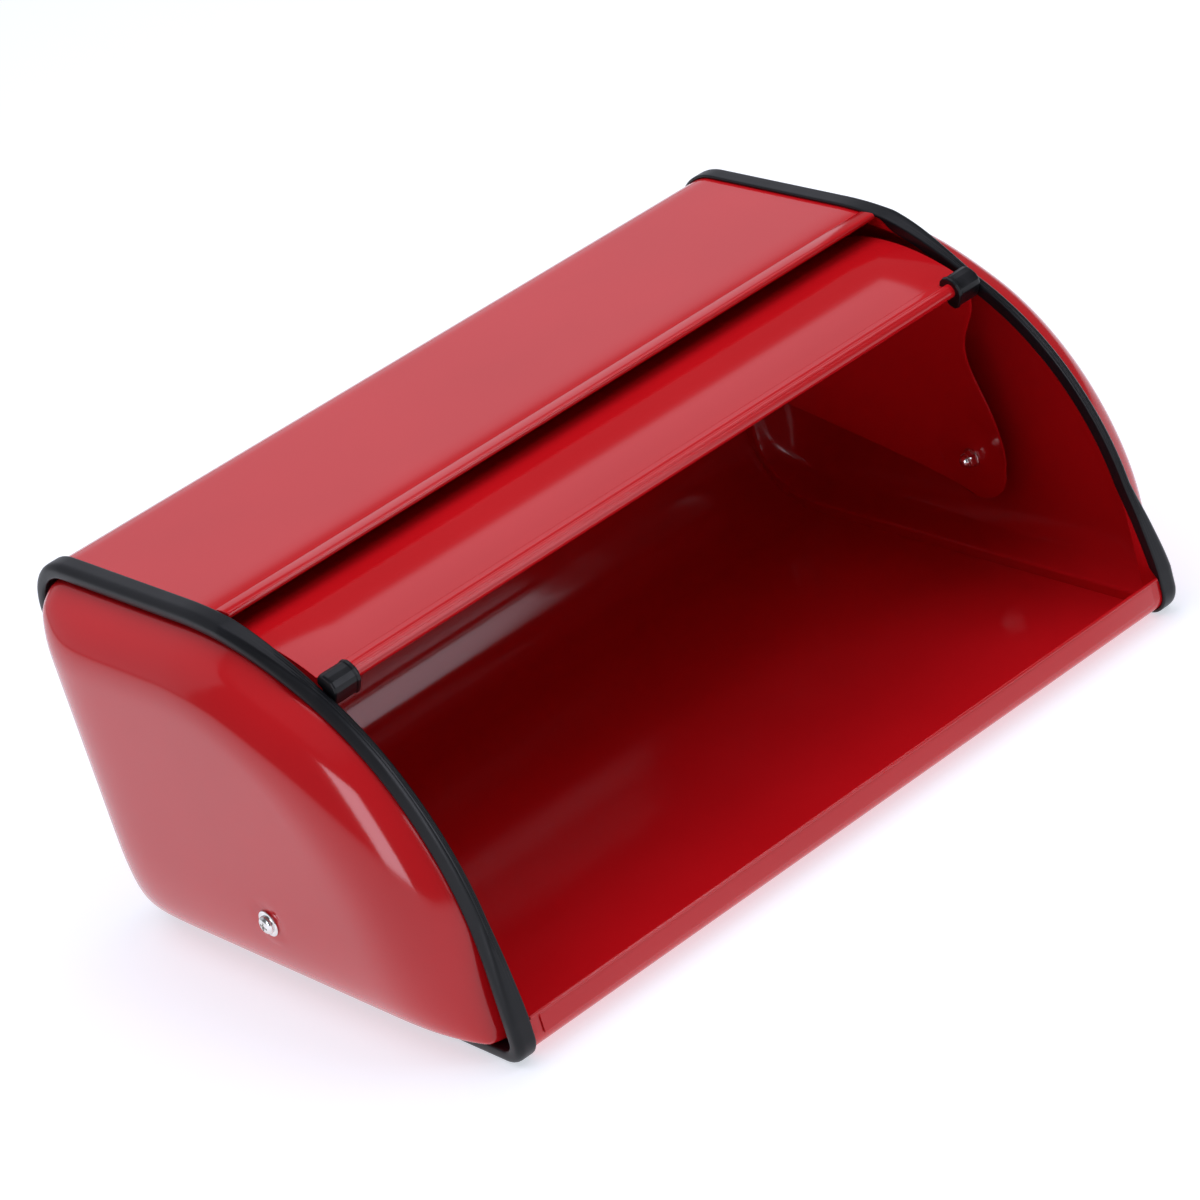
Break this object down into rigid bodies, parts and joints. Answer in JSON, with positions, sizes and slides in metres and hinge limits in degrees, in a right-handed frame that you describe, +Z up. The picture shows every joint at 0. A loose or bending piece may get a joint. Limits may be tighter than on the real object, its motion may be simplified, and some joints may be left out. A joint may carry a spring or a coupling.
{
  "type": "roll top bread box",
  "caption": "Red enamelled steel roll top bread box with domed ends, black edge trims and a curved lid that rolls back inside on two end pivots.",
  "frame": {"origin": "under the middle of the box, on the plane that it stands on", "axes": "+X along the width, -Y out of the open front, +Z up"},
  "size_m": [0.4132, 0.2584, 0.1694],
  "materials": {
    "red_enamel": "glossy red enamel on sheet steel",
    "black_trim": "satin black moulded edge trim",
    "bumper_plastic": "satin black moulded bumper",
    "dark_nylon": "dark nylon bush",
    "chrome_hardware": "bright plated steel hardware"
  },
  "bodies": {
    "box": {"body_shell": "red_enamel", "left_end_cap": "red_enamel", "left_edge_trim": "black_trim", "left_pivot_screw": "chrome_hardware", "left_outer_washer": "chrome_hardware", "left_spacer_bush": "dark_nylon", "left_inner_washer": "chrome_hardware", "left_cap_nut": "chrome_hardware", "right_end_cap": "red_enamel", "right_edge_trim": "black_trim", "right_pivot_screw": "chrome_hardware", "right_outer_washer": "chrome_hardware", "right_spacer_bush": "dark_nylon", "right_inner_washer": "chrome_hardware", "right_cap_nut": "chrome_hardware"},
    "lid": {"lid_panel": "red_enamel", "lid_left_wing": "red_enamel", "lid_right_wing": "red_enamel", "lid_left_bumper": "bumper_plastic", "lid_right_bumper": "bumper_plastic"}
  },
  "joints": [
    {"name": "lid_roll", "type": "hinge", "parent": "box", "child": "lid", "pos_m": [0, -0.00755, 0.043], "axis": [1, 0, 0], "range_deg": [0, 72]}
  ]
}
